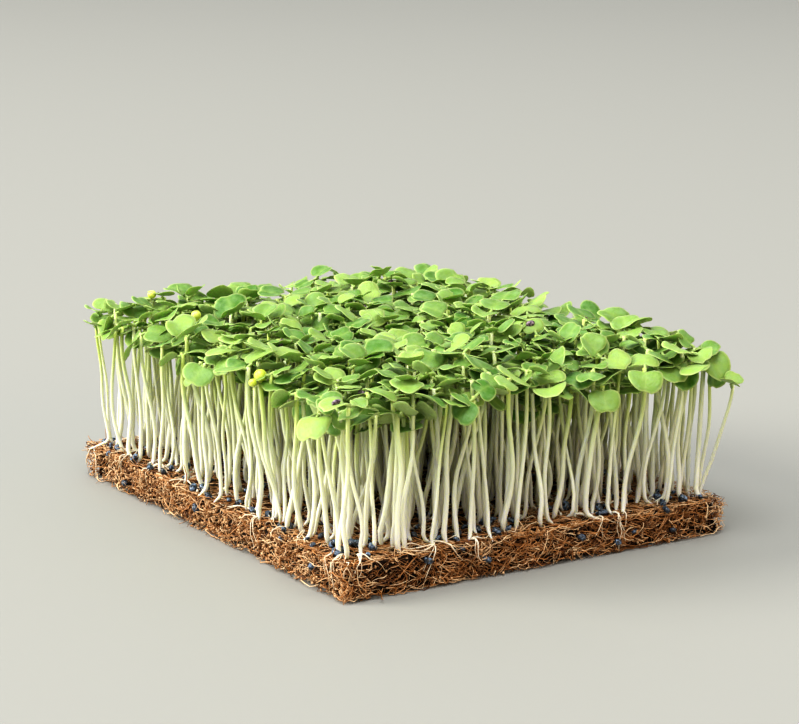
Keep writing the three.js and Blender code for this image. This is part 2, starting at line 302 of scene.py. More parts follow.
def coir_fibre():
    """Damp coconut husk fibre: each strand its own, from dark brown to straw, with a dull gloss."""
    material, tree, shader, place = new_material("coconut_coir_fibre")
    tone = add(tree, "Attribute", "Fac", {}, attribute_name="tone")
    patches = add(tree, "TexNoise", "Fac", {"Vector": place, "Scale": 1 / (9 * MM), "Detail": 3})
    stain = add(tree, "MapRange", "Result",
                {"Value": patches, "From Min": 0.4, "From Max": 0.7, "To Max": 0.3})
    lower = add(tree, "MapRange", "Result", {"Value": tone, "From Min": 0.0, "From Max": 0.5})
    upper = add(tree, "MapRange", "Result", {"Value": tone, "From Min": 0.5, "From Max": 1.0})
    dark = add(tree, "Mix", MIXED, {SHARE: lower, LOW: "#4f2a0f", HIGH: "#bf844a"}, **RGBA)
    husk = add(tree, "Mix", MIXED, {SHARE: upper, LOW: dark, HIGH: "#f8dab0"}, **RGBA)
    shown = add(tree, "Mix", MIXED, {SHARE: stain, LOW: husk, HIGH: "#93602f"}, **RGBA)
    fill(tree, shader, {"Base Color": shown, "Roughness": 0.38})
    return material


def coir_pith():
    """Crumbs of coconut pith: corky, matt, brown to pale tan, each with its own shade and rough skin."""
    material, tree, shader, place = new_material("coconut_pith_crumbs")
    tone = add(tree, "Attribute", "Fac", {}, attribute_name="tone")
    cells = add(tree, "TexNoise", "Fac", {"Vector": place, "Scale": 1 / (0.25 * MM), "Detail": 2})
    crumb = add(tree, "Mix", MIXED, {SHARE: tone, LOW: "#86522a", HIGH: "#eccda2"}, **RGBA)
    shown = add(tree, "Mix", MIXED, {SHARE: cells, LOW: crumb, HIGH: "#cba072"}, **RGBA)
    rough = add(tree, "Bump", "Normal", {"Height": cells, "Distance": 0.1 * MM})
    fill(tree, shader, {"Base Color": shown, "Normal": rough, "Roughness": 0.7})
    return material


def core_dust_painted_shade():
    """Packed coir dust deep between the fibres: dark where it is damp and darkened to almost black as
    painted shade in the gaps, crumbly and matt.
    """
    material, tree, shader, place = new_material("coir_core_painted_shade")
    noise = add(tree, "TexNoise", "Fac", {"Vector": place, "Scale": 1 / (0.9 * MM), "Detail": 4})
    crumbs = add(tree, "MapRange", "Result", {"Value": noise, "From Min": 0.3, "From Max": 0.75})
    # Near black: dark damp dust, made darker still as painted shade for the gaps between the fibres
    shown = add(tree, "Mix", MIXED, {SHARE: crumbs, LOW: "#0c0602", HIGH: "#35200e"}, **RGBA)
    rough = add(tree, "Bump", "Normal", {"Height": crumbs, "Distance": 0.5 * MM})
    fill(tree, shader, {"Base Color": shown, "Normal": rough, "Roughness": 0.95})
    return material


def swollen_seed():
    """Black basil seed in its wet slime: blue-grey clouds under a clear gloss."""
    material, tree, shader, place = new_material("swollen_basil_seed")
    tone = add(tree, "Attribute", "Fac", {}, attribute_name="tone")
    noise = add(tree, "TexNoise", "Fac", {"Vector": place, "Scale": 1 / (0.7 * MM), "Detail": 3})
    slime = add(tree, "MapRange", "Result", {"Value": noise, "From Min": 0.44, "From Max": 0.68})
    wet = add(tree, "Mix", MIXED, {SHARE: slime, LOW: "#0b0e14", HIGH: "#86a0bf"}, **RGBA)
    shown = add(tree, "Mix", MIXED, {SHARE: tone, LOW: wet, HIGH: "#1d2632"}, **RGBA)
    lumpy = add(tree, "Bump", "Normal", {"Height": slime, "Distance": 0.12 * MM})
    fill(tree, shader, {
        "Base Color": shown, "Normal": lumpy, "Roughness": 0.3, "Coat Weight": 0.6,
        "Coat Roughness": 0.12,
    })
    return material


def dry_seed_coat():
    """Empty dry seed coat: thin grey-purple husk with pale flecks."""
    material, tree, shader, place = new_material("dry_basil_seed_coat")
    noise = add(tree, "TexNoise", "Fac", {"Vector": place, "Scale": 1 / (0.6 * MM), "Detail": 2})
    flecks = add(tree, "MapRange", "Result", {"Value": noise, "From Min": 0.4, "From Max": 0.65})
    shown = add(tree, "Mix", MIXED, {SHARE: flecks, LOW: "#402f3b", HIGH: "#a8939f"}, **RGBA)
    fill(tree, shader, {"Base Color": shown, "Roughness": 0.5})
    return material


def folded_leaf_tissue():
    """Seed leaves that are still folded up: waxy, yellow for want of light, and greener in patches."""
    material, tree, shader, place = new_material("folded_seed_leaf_tissue")
    noise = add(tree, "TexNoise", "Fac", {"Vector": place, "Scale": 1 / (1.6 * MM), "Detail": 2})
    blush = add(tree, "MapRange", "Result", {"Value": noise, "From Min": 0.35, "From Max": 0.7})
    shown = add(tree, "Mix", MIXED, {SHARE: blush, LOW: "#bfd23a", HIGH: "#e6ea86"}, **RGBA)
    fill(tree, shader, {
        "Base Color": shown, "Roughness": 0.4, "Subsurface Weight": 0.4,
        "Subsurface Radius": (1.0, 1.0, 0.3), "Subsurface Scale": 1.0 * MM,
    })
    return material


def table_top():
    """Pale painted table, matt, of a plain warm grey."""
    material, tree, shader, _ = new_material("painted_table_top")
    fill(tree, shader, {"Base Color": "#95948e", "Roughness": 0.7})
    return material


# Meshes

def placed_object(name, data):
    """A new object of this data, in the scene."""
    made = bpy.data.objects.new(name, data)
    bpy.context.scene.collection.objects.link(made)
    return made


def mesh_piece(name, points, faces, material, slot, nodes, crisp=(), **values):
    """One piece from points in millimetres and groups of faces, with values held at its points.

    The crisp groups are shaded flat, so that their neighbours keep their own slopes.
    """
    mesh = bpy.data.meshes.new(name)
    mesh.vertices.add(len(points))
    mesh.vertices.foreach_set("co", (points * MM).astype(np.float32).ravel())
    corners = np.concatenate([group.ravel() for group in faces])
    counts = np.concatenate([np.full(len(group), group.shape[1]) for group in faces])
    mesh.loops.add(len(corners))
    mesh.loops.foreach_set("vertex_index", corners.astype(np.int32))
    mesh.polygons.add(len(counts))
    mesh.polygons.foreach_set("loop_start", (np.cumsum(counts) - counts).astype(np.int32))
    smooth = [np.full(len(faces[k]), k not in crisp) for k in range(len(faces))]
    mesh.polygons.foreach_set("use_smooth", np.concatenate(smooth))
    mesh.update(calc_edges=True)
    for key, value in values.items():
        attribute = mesh.attributes.new(key, "FLOAT", "POINT")
        attribute.data.foreach_set("value", np.asarray(value, np.float32).ravel())
    mesh.materials.append(material)
    piece = placed_object(name, mesh)
    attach(piece, "root")
    if nodes:
        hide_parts(*nodes)


def tubes(paths, radii, sides):
    """Closed tubes: paths are (tubes, stations, 3) and radii (tubes, stations). Gives points and faces."""
    count, stations, _ = paths.shape
    ways = unit(np.gradient(paths, axis=1))
    side = np.cross(ways[:, 0], np.where(np.abs(ways[:, 0, 2:]) < 0.8, [0, 0, 1.0], [1.0, 0, 0]))
    sides_along = [unit(side)]
    for k in range(1, stations):
        last = sides_along[-1]
        sides_along.append(unit(last - (last * ways[:, k]).sum(-1, keepdims=True) * ways[:, k]))
    across = np.stack(sides_along, 1)
    upward = np.cross(ways, across)
    turn = np.arange(sides) * 2 * pi / sides
    ring = np.cos(turn)[:, None] * across[:, :, None] + np.sin(turn)[:, None] * upward[:, :, None]
    points = paths[:, :, None] + radii[:, :, None, None] * ring
    index = np.arange(count * stations * sides).reshape(count, stations, sides)
    after = np.roll(index, -1, axis=2)
    walls = np.stack([index[:, :-1], after[:, :-1], after[:, 1:], index[:, 1:]], -1)
    ends = np.concatenate([index[:, 0, ::-1], index[:, -1]])
    return points.reshape(-1, 3), [walls.reshape(-1, 4), ends]


def at_each_point(per_tube, stations, sides):
    """A value of each tube, or of each of its stations, repeated for all its points."""
    values = np.asarray(per_tube, float)
    if values.ndim == 1:
        values = np.repeat(values[:, None], stations, 1)
    return np.repeat(values[:, :, None], sides, 2)


def ball(rounds):
    """Points and triangles of a unit ball."""
    shape = bmesh.new()
    bmesh.ops.create_icosphere(shape, subdivisions=rounds, radius=1)
    points = np.array([v.co for v in shape.verts])
    faces = np.array([[v.index for v in f.verts] for f in shape.faces])
    shape.free()
    return points, faces


def copies(faces, size, count):
    """The faces of so many copies of a shape with this many points, one after the other."""
    return (faces[None] + size * np.arange(count)[:, None, None]).reshape(-1, faces.shape[1])


def strewn_piece(name, placed, faces, *finish, **values):
    """One piece of many copies of a shape, from the points of each where it lies."""
    all_faces = copies(faces, len(placed[0]), len(placed))
    mesh_piece(name, np.concatenate(placed), [all_faces], *finish, **values)


# Sowing: the same rule and the same draws as the clumps of the frame

class Draws:
    """A small seeded generator: every run draws the same numbers."""

    def __init__(self, seed):
        self.state = seed

    def next(self):
        whole = 0xFFFFFFFF
        self.state = (self.state + 0x6D2B79F5) & whole
        t = ((self.state ^ (self.state >> 15)) * (1 | self.state)) & whole
        t = ((t + (((t ^ (t >> 7)) * (61 | t)) & whole)) ^ t) & whole
        return (t ^ (t >> 14)) / (whole + 1)

    def between(self, low, high):
        return low + (high - low) * self.next()


def edge_at(x, y):
    """How near a place is to the stand's edge, 0 inside and 1 at it, with the way out."""
    near_x = max(0, abs(x) - (HALF[0] - STAND_EDGE - EDGE_BAND)) / EDGE_BAND
    near_y = max(0, abs(y) - (HALF[1] - STAND_EDGE - EDGE_BAND)) / EDGE_BAND
    return min(1, max(near_x, near_y)), np.sign(x) * near_x, np.sign(y) * near_y


def canopy_at(x, y):
    wave = CANOPY_WAVE * sin(0.09 * x + 0.6) * sin(0.11 * y - 0.4)
    return PLANT_HEIGHT + wave - EDGE_DROP * edge_at(x, y)[0] ** 2


class Seedling:
    """One plant: its foot, its head, the sway of its stem and the pose of its two leaves."""

    def __init__(self, foot, head, sway, tilts, size, turn, roll):
        self.foot = foot
        self.head = head
        self.sway = sway
        self.tilts = tilts
        self.size = size
        self.along = np.array([cos(turn), sin(turn), 0])
        self.crosswise = np.array([-sin(turn) * cos(roll), cos(turn) * cos(roll), sin(roll)])
        self.clump = None
        self.folded = False
        self.edge = edge_at(*foot[:2])[0]
        self.stem = self.stem_points(np.linspace(0, 1, STEM_SAMPLES))
        self.place_leaves()

    def stem_points(self, t):
        rise = self.head[2] - self.foot[2]
        low = self.foot + self.sway + [0, 0, 0.35 * rise]
        high = self.head - [0, 0, 0.4 * rise]
        t = t[:, None]
        return (
            (1 - t) ** 3 * self.foot + 3 * (1 - t) ** 2 * t * low
            + 3 * (1 - t) * t**2 * high + t**3 * self.head
        )

    def leaf_point(self, leaf, share, across):
        out = np.asarray(share)[..., None] * self.size * LEAF_REACH
        side = np.asarray(across)[..., None] * self.size * LEAF_HALF_WIDTH
        tilt = self.tilts[leaf]
        level = (-1 if leaf else 1) * out * cos(tilt)
        rise = out * sin(tilt) - LEAF_DROOP * out * out
        return self.head + self.along * level + self.crosswise * side + rise * [0, 0, 1]

    def place_leaves(self):
        """For each leaf: its middle, its axes and its half sizes, and the points of both leaves."""
        shares = np.repeat([0.08, 0.3, 0.58, 0.8, 1], 5)
        widths = np.repeat([0.3, 0.86, 1, 0.82, 0.52], 5) * np.tile([-1, -0.5, 0, 0.5, 1], 5)
        centres, axes, halves, points = [], [], [], []
        for leaf in (0, 1):
            start, end = self.leaf_point(leaf, np.array([0, 1]), np.zeros(2))
            along = unit(end - start)
            centres.append(start + 0.54 * (end - start))
            axes.append([self.crosswise, along, unit(np.cross(self.crosswise, along))])
            halves.append([self.size * LEAF_HALF_WIDTH, 0.54 * np.linalg.norm(end - start)])
            points.append(self.leaf_point(leaf, shares, widths))
        self.patches = np.array(centres), np.array(axes), np.array(halves)
        self.leaf_points = np.concatenate(points)


class Neighbours:
    """The seedlings whose heads are near a spot, held as arrays."""

    def __init__(self, seedlings, spot, reach):
        self.all = [s for s in seedlings if np.hypot(*(s.head[:2] - spot)) < reach]
        self.heads = np.array([s.head[:2] for s in self.all]).reshape(-1, 2)
        self.stems = np.array([s.stem for s in self.all]).reshape(-1, STEM_SAMPLES, 3)
        self.leaf_points = np.array([s.leaf_points for s in self.all]).reshape(-1, 50, 3)
        shapes = (2, 3), (2, 3, 3), (2, 2)
        self.patches = [
            np.array([s.patches[k] for s in self.all]).reshape(-1, *shapes[k]) for k in range(3)
        ]


def in_patch(points, patches, margin, gap):
    """Which points are over or under a leaf, and nearer to it than the gap."""
    centres, axes, halves = patches
    local = (points - centres[..., None, :]) @ np.swapaxes(axes, -1, -2)
    inside = ((local[..., :2] / (halves[..., None, :] + margin)) ** 4).sum(-1) < 1
    return inside & (np.abs(local[..., 2]) <= gap)


def touches(drawn, near, room):
    """How many points of a seedling and of each neighbour come nearer to the other than this room."""
    found = np.linalg.norm(drawn.stem[:, None] - near.stems[:, None], axis=-1) < room["stems"]
    total = found.sum((1, 2))
    for points, patches, meeting in (
        (drawn.stem, near.patches, "stem_and_leaf"),
        (near.stems[:, None], drawn.patches, "stem_and_leaf"),
        (drawn.leaf_points, near.patches, "leaves"),
        (near.leaf_points[:, None], drawn.patches, "leaves"),
    ):
        total += in_patch(points, patches, *room[meeting]).sum((1, 2))
    return total * (np.linalg.norm(near.heads - drawn.head[:2], axis=-1) <= REACH)


def draw_seedling(place, hub, draws, effort):
    _, out_x, out_y = edge_at(place[0], place[1])
    lean_turn = draws.between(0, 2 * pi)
    lean = LEAN * draws.next()
    x = place[0] + lean * cos(lean_turn) + EDGE_LEAN * out_x * draws.next()
    y = place[1] + lean * sin(lean_turn) + EDGE_LEAN * out_y * draws.next()
    height = canopy_at(place[0], place[1]) + HEIGHT_SPREAD * (1 + effort) * draws.between(-1, 0.6)
    sway = np.array([draws.between(-SWAY, SWAY), draws.between(-SWAY, SWAY), 0])
    turn = draws.between(0, 2 * pi)
    roll = draws.between(-0.3, 0.3)
    tilts = [draws.between(-0.35 - 0.3 * effort, 0.5 + 0.6 * effort) for _ in range(2)]
    size = draws.between(0.9, 1.06) * (1 - (1 - SMALLEST_LEAF) * effort)
    foot = hub + FOOT_SPREAD * (place - hub)
    return Seedling(foot, np.array([x, y, MAT_TOP + height]), sway, tilts, size, turn, roll)


def block_middle(block):
    middle = [BLOCK * (n + 0.5) for n in block]
    return np.array([
        (middle[0] - COLUMNS / 2) * CELL_X,
        (middle[1] - ROWS / 2) * CELL_Y,
        MAT_TOP + ROOT_LIFT,
    ])


def sow_clumps():
    """The seedlings of the frame's clumps, in the order of the grid, each with its clump's name."""
    stand = []
    for row in range(ROWS):
        for column in range(COLUMNS):
            draws = Draws(FIRST_DRAW + len(stand))
            block = (column // BLOCK, row // BLOCK)
            place = np.array([
                (column + 0.5 - COLUMNS / 2 + draws.between(-BASE_JITTER, BASE_JITTER)) * CELL_X,
                (row + 0.5 - ROWS / 2 + draws.between(-BASE_JITTER, BASE_JITTER)) * CELL_Y,
                MAT_TOP + ROOT_LIFT,
            ])
            near = Neighbours(stand, place[:2], REACH + LEAN + 2 * EDGE_LEAN)
            clump = f"basil_clump_{block[1] + 1}_{block[0] + 1}"
            kin = np.array([s.clump == clump for s in near.all], bool)
            for i in range(MOST_TRIES):
                drawn = draw_seedling(place, block_middle(block), draws, i / MOST_TRIES)
                tangled = kin & (2 * i > MOST_TRIES)
                if not (touches(drawn, near, CLUMP_ROOM)[~tangled]).any():
                    break
            drawn.clump = clump
            stand.append(drawn)
    return stand


def sow_between(stand):
    """The rest of the stand: each seedling takes the emptiest spot of a few, and its best pose of a few."""
    draw = np.random.default_rng(FIRST_DRAW)
    feet = [s.foot[:2] for s in stand]
    more = []
    for _ in range(MORE_SEEDLINGS):
        spots = draw.uniform(-1, 1, (MORE_SPOTS, 2)) * (HALF - FOOT_INSET)
        gaps = np.linalg.norm(spots[:, None] - np.array(feet), axis=-1).min(1)
        spot = spots[gaps.argmax()]
        feet.append(spot)
        more.append(best_pose(spot, draw, stand + more))
    for foot, head, size, folded in SINGLED_OUT:
        foot, head = np.array([*foot, MAT_TOP + FOOT_LIFT]), np.array(head)
        sway = 0.2 * (head - foot) * [1, 1, 0]
        more.append(Seedling(foot, head, sway, (0.7, 0.5), size, 2.2, 0.2))
        more[-1].folded = folded
    return more


def best_pose(spot, draw, standing):
    near, out_x, out_y = edge_at(*spot)
    neighbours = Neighbours(standing, spot, MORE_REACH)
    best, fewest = None, None
    for effort in np.linspace(0, 1, MORE_TRIES):
        low = LOW_DEPTH * draw.random() * (1 - near) if draw.random() < LOW_SHARE else 0
        height = canopy_at(*spot) + draw.uniform(-2.8, 1.8) - low
        lean = draw.normal(0, 2.0, 2) + np.array([out_x, out_y]) * draw.uniform(-2.5, 1)
        outward = np.arctan2(out_y, out_x) if near > 0.3 else draw.uniform(0, 2 * pi)
        turn = outward + draw.normal(0, 0.9)
        tilts = draw.uniform(-0.42, 0.5 + 0.3 * effort, 2)
        tilts[0] -= 1.1 * near * draw.random()
        drawn = Seedling(
            np.array([*spot, MAT_TOP + FOOT_LIFT]),
            np.array([*(spot + lean), MAT_TOP + height]),
            np.array([*draw.uniform(-SWAY, SWAY, 2), 0]),
            tilts, draw.uniform(0.78, 1.06), turn, draw.uniform(-0.5, 0.5),
        )
        found = touches(drawn, neighbours, FINE_ROOM).sum()
        if fewest is None or found < fewest:
            best, fewest = drawn, found
        if not found:
            break
    return best


# Seedling pieces

def blade_outline(turn):
    """The rim of a seed leaf round its middle: broad and nearly straight at its base, round at its tip."""
    side, out = np.cos(turn), np.sin(turn)
    x = np.sign(side) * np.abs(side) ** np.where(out > 0, 0.9, 0.62)
    y = np.where(out > 0, 0.58 * np.abs(out) ** 0.95, -0.42 * np.abs(out) ** 0.6)
    return x, y


def blade_template(rings=3, spokes=20):
    """A flat seed leaf from its base at 0 to its tip at 1: places across and along, ring shares, faces."""
    turn = np.arange(spokes) * 2 * pi / spokes
    rim_x, rim_y = blade_outline(turn)
    across, along, share = [0.0], [0.42], [0.0]
    for ring in range(1, rings + 1):
        r = (ring / rings) ** 0.85
        across.extend(r * rim_x)
        along.extend(0.42 + r * rim_y)
        share.extend([r] * spokes)
    across, along, share = np.array(across), np.array(along), np.array(share)
    along -= 0.08 * share**2 * np.exp(-((across / 0.2) ** 2)) * (along > 0.42)
    along += 0.09 * share**2 * np.exp(-((across / 0.22) ** 2)) * (along < 0.42)
    first = 1 + np.arange(spokes)
    after = np.roll(first, -1)
    fan = np.stack([np.zeros(spokes, int), first, after], -1)
    bands = [
        np.stack([first + k, first + k + spokes, after + k + spokes, after + k], -1)
        for k in spokes * np.arange(rings - 1)
    ]
    return across, along, share, fan, np.concatenate(bands), first + spokes * (rings - 1)


def leaf_axes(seedling, leaf):
    """A leaf's directions: out along it, to its side and up out of its face."""
    way = -1 if leaf else 1
    tilt = seedling.tilts[leaf]
    out = way * cos(tilt) * seedling.along + np.array([0, 0, sin(tilt)])
    side = way * seedling.crosswise
    up = unit(np.cross(out, side))
    return out, side, -up if up[2] < 0 else up


def bend_blade(across, along, share, seedling, leaf, draw):
    """One leaf's own shape, to its side, out and up: folded at the midrib, cupped and wavy."""
    grown = seedling.size * draw.uniform(0.86, 1.2)
    x = across * BLADE_HALF_WIDTH * grown * draw.uniform(0.92, 1.06)
    y = along * BLADE_LENGTH * grown
    edge = seedling.edge * (1 if leaf == 0 else 0.4)
    fold = draw.normal(0.1, 0.13)
    cup = draw.normal(0, 0.025)
    bow = draw.uniform(-0.02, 0.05) + 0.07 * edge * draw.random()
    twist = draw.normal(0, 0.14)
    waves = 0.2 * share**2 * np.sin(draw.integers(2, 6) * np.arctan2(x, y - 3) + draw.uniform(0, 6))
    z = fold * np.abs(x) + cup * x**2 - bow * y**2 + twist * x * y / BLADE_LENGTH + waves
    return x, PETIOLE + y, z


def bowed_down(points):
    """Points of a leaf, with the highest tips let down to the photo's outline."""
    high = np.maximum(points[..., 2:] - HIGH_TIPS, 0)
    return points - TIP_BOW * high * [0, 0, 1]


def clumps_of(seedlings):
    """The clumps of the frame that these seedlings stand for."""
    return sorted({s.clump for s in seedlings if s.clump})


def leaf_pieces(seedlings, material):
    """Every seed leaf of some seedlings as a closed shell, with the petioles that carry them."""
    across, along, share, fan, bands, rim = blade_template()
    count = len(across)
    draw = np.random.default_rng(FIRST_DRAW + seedlings[0].row)
    points, tone, stalks = [], [], []
    for seedling in seedlings:
        if seedling.folded:
            continue
        shade = draw.beta(1.1, 1.3)
        for leaf in (0, 1):
            out, side, up = leaf_axes(seedling, leaf)
            x, y, z = bend_blade(across, along, share, seedling, leaf, draw)
            middle = seedling.head + x[:, None] * side + y[:, None] * out + z[:, None] * up
            middle = bowed_down(middle)
            lift = 0.5 * LEAF_THICKNESS * (1 - 0.6 * share**4)[:, None] * up
            points += [middle + lift, middle - lift]
            tone.append(np.full(2 * count, np.clip(shade + draw.normal(0, 0.16), 0, 1)))
            reach = np.linspace(0, 1, PETIOLE_STATIONS)[:, None]
            blade_foot = seedling.head + (PETIOLE + 0.14 * BLADE_LENGTH) * out - 0.3 * up
            neck = seedling.head - 0.5 * np.array([0, 0, 1])
            stalks.append(neck + reach * (blade_foot - neck) + 0.25 * np.sin(pi * reach) * up)
    blades = len(points) // 2
    fans = copies(np.concatenate([fan, fan[:, ::-1] + count]), 2 * count, blades)
    bands = copies(np.concatenate([bands, bands[:, ::-1] + count]), 2 * count, blades)
    edge = np.stack([rim, rim + count, np.roll(rim, -1) + count, np.roll(rim, -1)], -1)
    edges = copies(edge, 2 * count, blades)
    radii = np.linspace(*PETIOLE_RADII, PETIOLE_STATIONS)[None].repeat(len(stalks), 0)
    tube_points, tube_faces = tubes(np.array(stalks), radii, PETIOLE_SIDES)
    blade_points = np.concatenate(points)
    faces = [fans, bands, edges, *[group + len(blade_points) for group in tube_faces]]
    extra = np.zeros(len(tube_points))
    mesh_piece(
        f"seed_leaves_row_{seedlings[0].row}", np.concatenate([blade_points, tube_points]), faces,
        material, "seed_leaf", clumps_of(seedlings), crisp=(2, 4),
        tone=np.concatenate([*tone, extra + 0.8]),
        under=np.concatenate([np.tile(np.repeat([0.0, 1.0], count), blades), extra]),
        # The rim value also sets the painted rim highlight; the stalks get 0.95, so they take part of it
        rim=np.concatenate([np.tile(share, 2 * blades), extra + 0.95]),
        vein=np.concatenate([np.tile(np.exp(-((across / 0.1) ** 2)), 2 * blades), extra]),
    )


def stem_pieces(seedlings, material):
    """The stems of some seedlings: hooked and drawn out at the foot, thicker and whiter low down."""
    draw = np.random.default_rng(FIRST_DRAW + 10 + seedlings[0].row)
    foot_lift, foot_reach = [-0.5, 0.35, 1.1], np.array([1.35, 0.7, 0.2])
    rise = np.linspace(0.06, 1, STEM_STATIONS - len(foot_lift))
    paths, greenness = [], []
    for s in seedlings:
        body = s.stem_points(rise)
        wave = 0.25 * np.sin(2 * pi * rise * draw.uniform(0.7, 1.6) + draw.uniform(0, 6))
        body[:, :2] += wave[:, None]
        feet = body[0, :2] + foot_reach[:, None] * s.hook
        paths.append(np.concatenate([np.column_stack([feet, np.add(foot_lift, MAT_TOP)]), body]))
        greenness.append(draw.uniform(0.7, 1.1))
    rise = np.concatenate([[0, 0, 0], rise])
    girth = STEM_TIP_RADIUS + (STEM_RADIUS - STEM_TIP_RADIUS) * (1 - rise) ** 1.5
    girth[:3] *= [0.3, 0.62, 0.92]
    grown = np.array([0.35 + 0.65 * min(s.size, 1) for s in seedlings])
    radii = girth * (grown * draw.uniform(0.8, 1.16, len(paths)))[:, None]
    points, faces = tubes(np.array(paths), radii, STEM_SIDES)
    mesh_piece(
        f"stems_row_{seedlings[0].row}", points, faces, material, "stem", clumps_of(seedlings),
        rise=at_each_point(rise * np.array(greenness)[:, None], STEM_STATIONS, STEM_SIDES),
        tone=at_each_point(draw.random(len(paths)), STEM_STATIONS, STEM_SIDES),
    )


def folded_leaves(seedlings, material):
    """Seed leaves that haven't opened: two halves pressed into one ball, with a cleft between them."""
    points, faces = ball(3)
    cleft = 1 - 0.22 * np.exp(-((points[:, 0] / 0.16) ** 2))
    shape = points * cleft[:, None] * FOLDED_SIZE
    placed = []
    for s in seedlings:
        turned = Euler((0.3 * s.tilts[0], 0.3 * s.tilts[1], np.arctan2(s.along[1], s.along[0]))).to_matrix()
        placed.append(s.size * shape @ np.array(turned).T + s.head + [0, 0, 0.9])
    strewn_piece("folded_seed_leaves", placed, faces, material, "seed_leaf", [])


def husks_on_leaves(seedlings, material):
    """Empty seed coats that were carried up and lie on the leaves."""
    points, faces = ball(2)
    draw = np.random.default_rng(FIRST_DRAW + 5)
    placed = []
    for s in seedlings:
        leaf = draw.integers(2)
        place = bowed_down(s.leaf_point(leaf, 0.55, 0.15)) + [0, 0, 0.6]
        turned = np.array(Euler(draw.uniform(0, pi, 3)).to_matrix())
        placed.append(points * HUSK_SIZE @ turned.T + place)
    strewn_piece("husks_on_leaves", placed, faces, material, "seed", [])


# Mat pieces

def round_mat(share, lift):
    """Places on the mat's side: a share of the way round it, and a height, with the ways out and along."""
    run = np.asarray(share) % 1 * 2 * (MAT_LENGTH + MAT_WIDTH)
    lengths = np.cumsum([0, MAT_LENGTH, MAT_WIDTH, MAT_LENGTH])
    side = (run[:, None] >= lengths).sum(-1) - 1
    along = run - lengths[side]
    starts = np.array([[-1, -1], [1, -1], [1, 1], [-1, 1]]) * HALF
    ways = np.array([[1, 0], [0, 1], [-1, 0], [0, -1]])
    flat = starts[side] + ways[side] * along[:, None]
    out = np.stack([ways[side][:, 1], -ways[side][:, 0]], -1)
    places = np.column_stack([flat, lift])
    return places, np.column_stack([out, 0 * lift]), np.column_stack([ways[side], 0 * lift])


def mat_core(material):
    """The felt's inside, painted near black as the shade between the fibres: rings of points over the
    bottom, up the sides and in over the top.
    """
    places, out, _ = round_mat(np.arange(RIM_POINTS) / RIM_POINTS, np.zeros(RIM_POINTS))
    rings = [(scale, 0.02) for scale in (0.15, 0.4, 0.7, 0.9)]
    rings += [(1, height) for height in np.linspace(0.3, MAT_TOP - 1.0, 6)]
    rings += [(scale, MAT_TOP - 0.7) for scale in np.linspace(0.985, 0.02, 24)]
    points = []
    for scale, height in rings:
        ring = places * scale
        ring[:, 2] = height
        drawn = CORE_INSET + 1.3 * ripple(ring, 5, 3) if scale == 1 else np.zeros(RIM_POINTS) + CORE_INSET
        ring -= drawn[:, None] * out * scale
        if height > MAT_TOP - 0.8:
            ring[:, 2] += TOP_RELIEF * ripple(ring[:, :2], 7, 4) + 0.3 * ripple(ring[:, :2], 2, 5)
        points.append(ring)
    index = np.arange(len(rings) * RIM_POINTS).reshape(len(rings), RIM_POINTS)
    after = np.roll(index, -1, 1)
    walls = np.stack([index[:-1], after[:-1], after[1:], index[1:]], -1).reshape(-1, 4)
    ends = [index[0][None, ::-1], index[-1][None]]
    mesh_piece("coir_core", np.concatenate(points), [walls, *ends], material, "coir", ["coir_mat"])


def wander(starts, headings, lengths, stations, bend, draw):
    """Curly paths: each fibre sets out along its heading, which drifts at each station."""
    step = (lengths / (stations - 1))[:, None]
    paths = [starts]
    for _ in range(stations - 1):
        headings = unit(headings + draw.normal(0, bend, headings.shape))
        paths.append(paths[-1] + step * headings)
    return np.stack(paths, 1)


def fibre_piece(name, paths, tone, draw, material):
    """Fibres that thin out along their paths, each with its own girth and tone."""
    stations = paths.shape[1]
    taper = np.linspace(1, 0.6, stations)
    radii = draw.uniform(*FIBRE_RADIUS, (len(paths), 1)) * taper
    points, faces = tubes(paths, radii, FIBRE_SIDES)
    tone = at_each_point(np.clip(tone, 0, 1), stations, FIBRE_SIDES)
    mesh_piece(name, points, faces, material, "coir", ["coir_mat"], tone=tone)


def hollows(places):
    """How far the mat's side is eaten out at these places."""
    return 0.6 * ripple(places, 9, 12)


def side_fibres(material):
    """The cut sides: the fibres run along Y, in layers on the X sides, and end, cut, on the Y sides."""
    draw = np.random.default_rng(SIDE_DRAW)
    wanted = 3 * SIDE_FIBRES
    places, out, along = round_mat(draw.random(wanted), draw.uniform(0.3, MAT_TOP - 0.1, wanted))
    depth = draw.beta(1.1, 2.0, wanted) * 3.0 - 0.2 + hollows(places)
    parted = ripple(places * [1, 1, 6.5], 30, 8) > 0.88
    kept = ~parted | (depth > 1.7)
    kept &= np.cumsum(kept) <= SIDE_FIBRES
    places, out, along, depth = (a[kept] for a in (places, out, along, depth))
    count = len(places)
    cut = (np.abs(out[:, 1:2]) > 0.5) & (draw.random((count, 1)) < 0.7)
    lying = along * np.sign(draw.normal(size=(count, 1))) + draw.normal(0, 0.25, (count, 1)) * out
    ending = out + draw.normal(0, 0.9, (count, 1)) * along
    slope = np.where(cut, 0.55, 0.28) * draw.normal(size=(count, 1)) * [0, 0, 1]
    lengths = np.where(cut[:, 0], draw.uniform(1.2, 3.5, count), draw.uniform(3, 9, count))
    starts = places - (depth[:, None] + 0.45 * lengths[:, None] * cut) * out
    headings = unit(np.where(cut, ending, lying) + slope)
    paths = wander(starts, headings, lengths, FIBRE_STATIONS, 0.42, draw)
    keep_in(paths)
    # Fibres deeper in the side are painted darker, as painted shade in its recesses; cut ends are given a
    # lighter tone
    tone = 0.6 + 0.22 * cut[:, 0] + draw.normal(0, 0.3, count) - 0.22 * depth
    fibre_piece("coir_side_fibres", paths, tone, draw, material)


